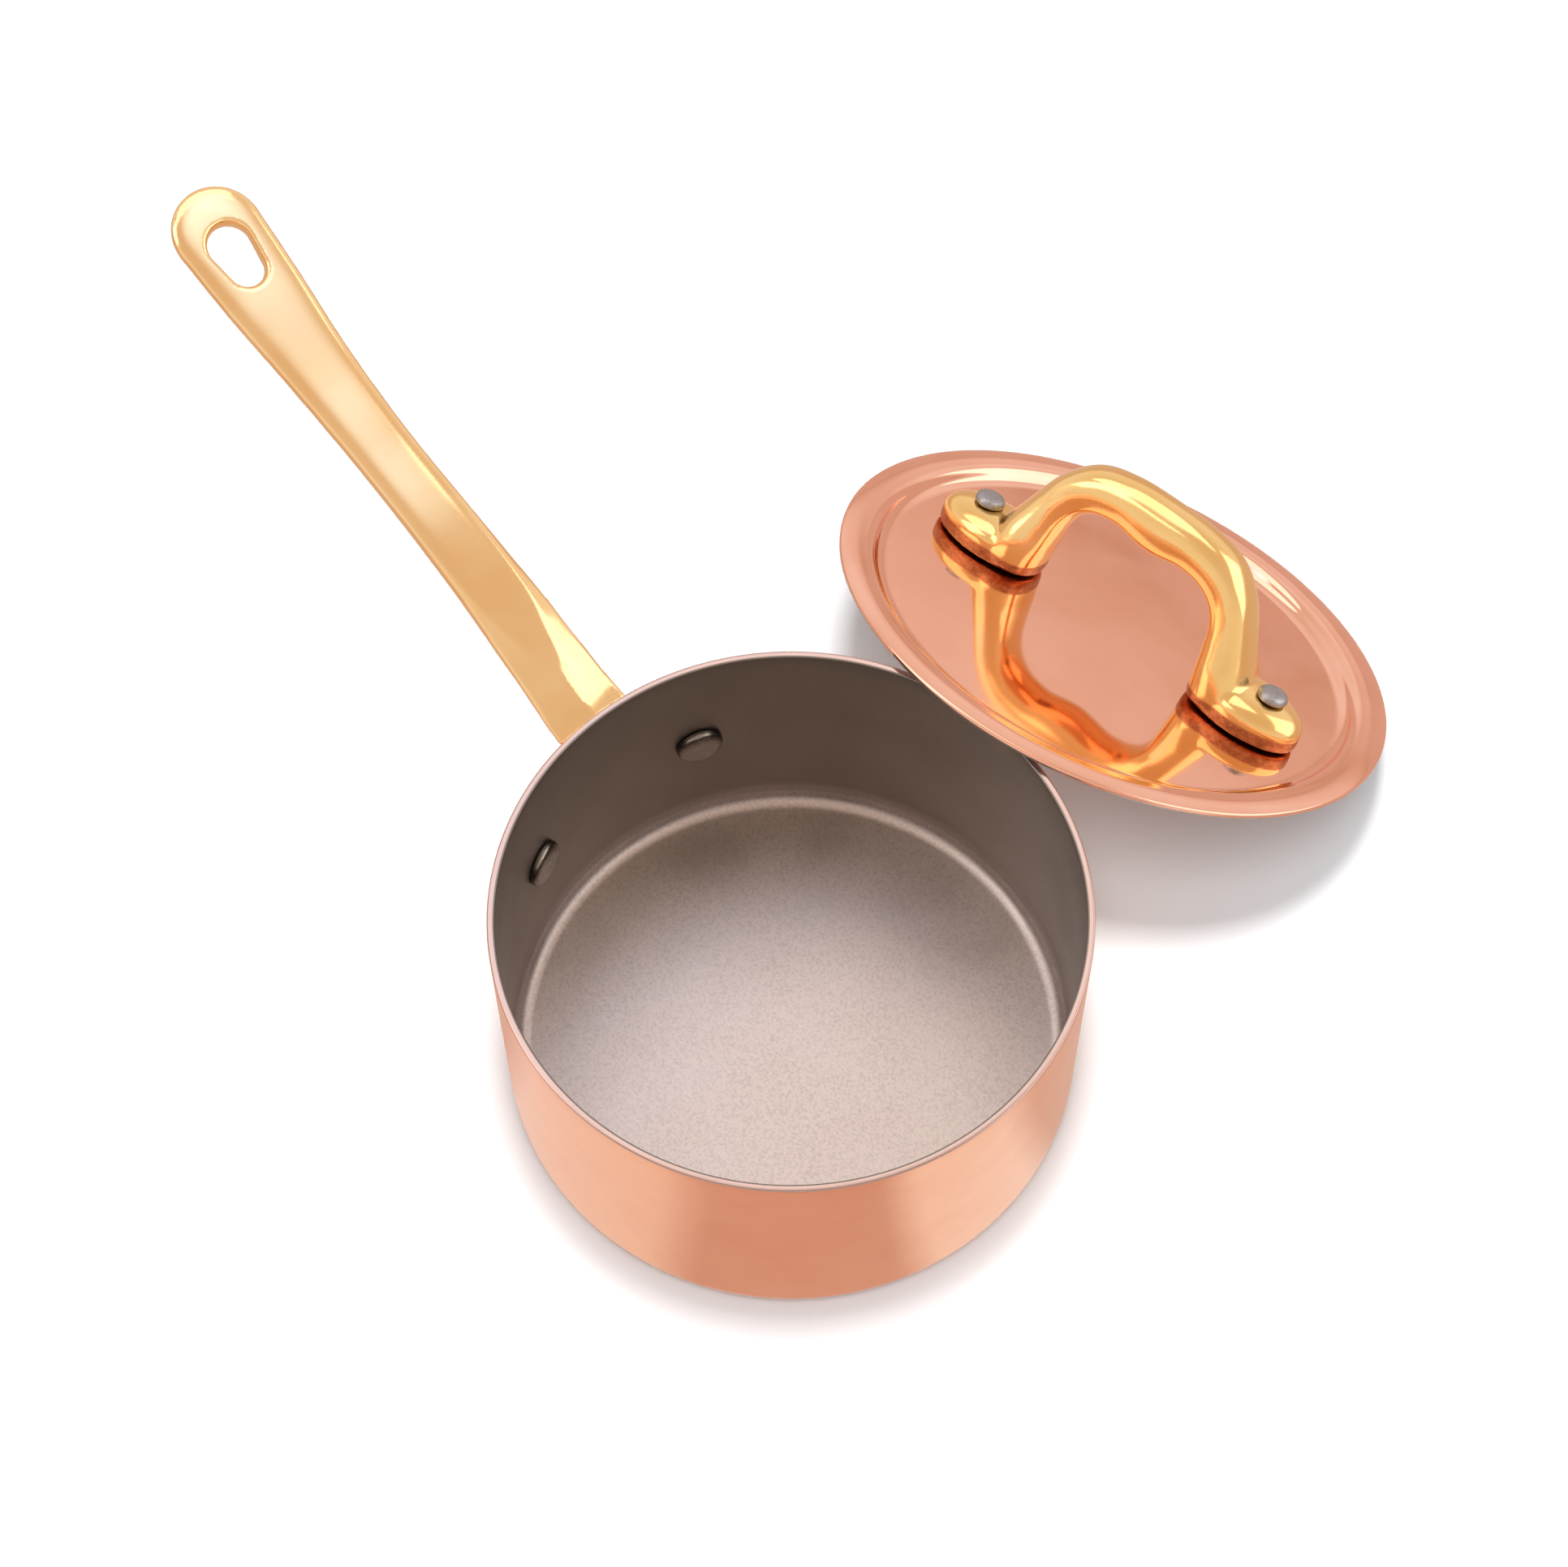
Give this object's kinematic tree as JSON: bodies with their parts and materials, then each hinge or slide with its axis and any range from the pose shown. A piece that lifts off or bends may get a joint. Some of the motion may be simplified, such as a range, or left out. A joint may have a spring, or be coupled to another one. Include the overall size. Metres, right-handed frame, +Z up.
{
  "type": "saucepan with lid",
  "caption": "Small copper saucepan with a steel lining and a riveted brass strap handle, with its loose recessed copper lid leaning on the rim.",
  "frame": {"origin": "centre of the pan's base, on the surface it stands on", "axes": "+Z up; the pan's handle points along -X; the lid leans on the rim on the +Y side"},
  "size_m": [0.2458, 0.224, 0.1106],
  "materials": {
    "pan_copper": "satin-polished copper",
    "lid_copper": "mirror-polished copper",
    "lining_steel": "matt stainless lining, bonded to the copper",
    "brass": "polished cast brass",
    "rivet_steel": "plain steel rivet"
  },
  "bodies": {
    "pan": {"pan_shell": "pan_copper", "pan_lining": "lining_steel", "pan_handle": "brass", "pan_rivet_left": "rivet_steel", "pan_rivet_right": "rivet_steel"},
    "lid": {"lid_shell": "lid_copper", "lid_lining": "lining_steel", "lid_handle": "brass", "lid_rivet_left": "rivet_steel", "lid_rivet_right": "rivet_steel"}
  },
  "joints": [
    {"name": "lid_lift", "type": "slide", "parent": "pan", "child": "lid", "axis": [0, 0, 1], "range_m": [0, 0.12]}
  ]
}
